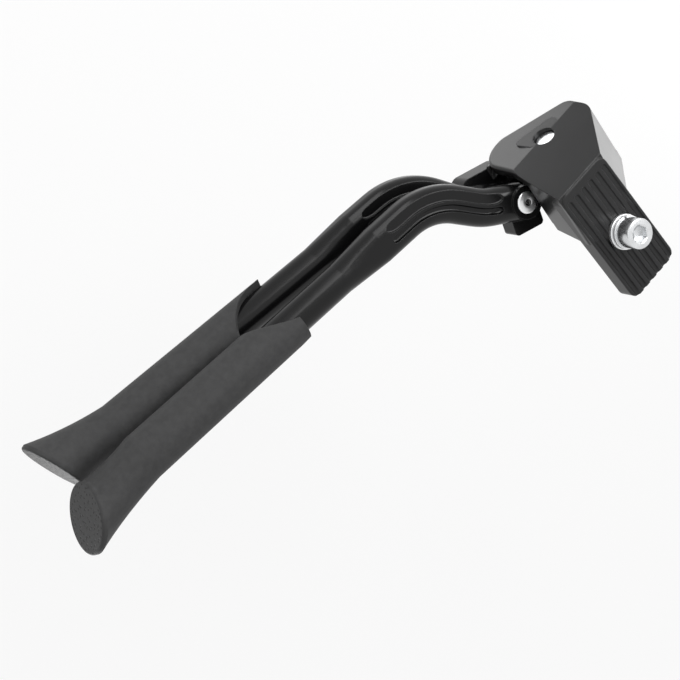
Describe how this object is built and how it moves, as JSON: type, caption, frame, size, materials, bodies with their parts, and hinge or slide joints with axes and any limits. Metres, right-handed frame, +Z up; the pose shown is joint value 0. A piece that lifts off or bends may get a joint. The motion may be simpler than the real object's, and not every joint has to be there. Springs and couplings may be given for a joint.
{
  "type": "bicycle kickstand",
  "caption": "Folding centre-mount bicycle kickstand: a ribbed clamp plate on a hollow housing and two sleeved legs that swing down and spread apart.",
  "frame": {"origin": "mounting bolt's axis at the top of the ribbed clamp plate", "axes": "+X forward along the bicycle, +Y to its left, +Z up out of the clamp plate; stored folded"},
  "size_m": [0.3431, 0.1635, 0.1054],
  "materials": {
    "housing_paint": "satin",
    "leg_paint": "gloss",
    "sleeve_rubber": "matte",
    "zinc_steel": "satin",
    "spring_steel": "satin",
    "bearing_plastic": "matte",
    "stop_rubber": "matte"
  },
  "bodies": {
    "housing": {"mount_housing": "housing_paint", "mount_bolt": "zinc_steel", "flat_washer": "zinc_steel", "spring_washer": "zinc_steel", "main_pivot_pin": "zinc_steel", "pivot_retaining_ring": "spring_steel", "outer_thrust_washer": "bearing_plastic", "inner_thrust_washer": "bearing_plastic", "spring_sleeve": "bearing_plastic", "return_spring": "spring_steel", "spring_anchor_pin": "zinc_steel", "fold_stop_pin": "zinc_steel", "fold_stop_sleeve": "stop_rubber", "down_stop_pad": "stop_rubber"},
    "left_leg": {"left_leg": "leg_paint", "outer_pivot_bush": "bearing_plastic", "inner_pivot_bush": "bearing_plastic", "left_foot_sleeve": "sleeve_rubber", "leg_pivot_rivet": "zinc_steel", "rivet_collar": "zinc_steel", "leg_spacer_washer": "bearing_plastic", "spring_hook_pin": "zinc_steel", "spread_spring": "spring_steel"},
    "right_leg": {"right_leg": "leg_paint", "rivet_bush": "bearing_plastic", "right_foot_sleeve": "sleeve_rubber"}
  },
  "joints": [
    {"name": "left_leg_swing", "type": "hinge", "parent": "housing", "child": "left_leg", "pos_m": [0.0138, 0.0526, -0.037], "axis": [0, -0.9903, -0.1392], "range_deg": [0, 98], "deforming": ["return_spring"]},
    {"name": "right_leg_spread", "type": "hinge", "parent": "left_leg", "child": "right_leg", "pos_m": [-0.0187, 0.0367, -0.04], "axis": [0, 0, 1], "range_deg": [0, 50], "deforming": ["spread_spring"]}
  ],
  "couplings": [
    {"joint": "right_leg_spread", "follows": "left_leg_swing", "ratio": 0.5102}
  ]
}
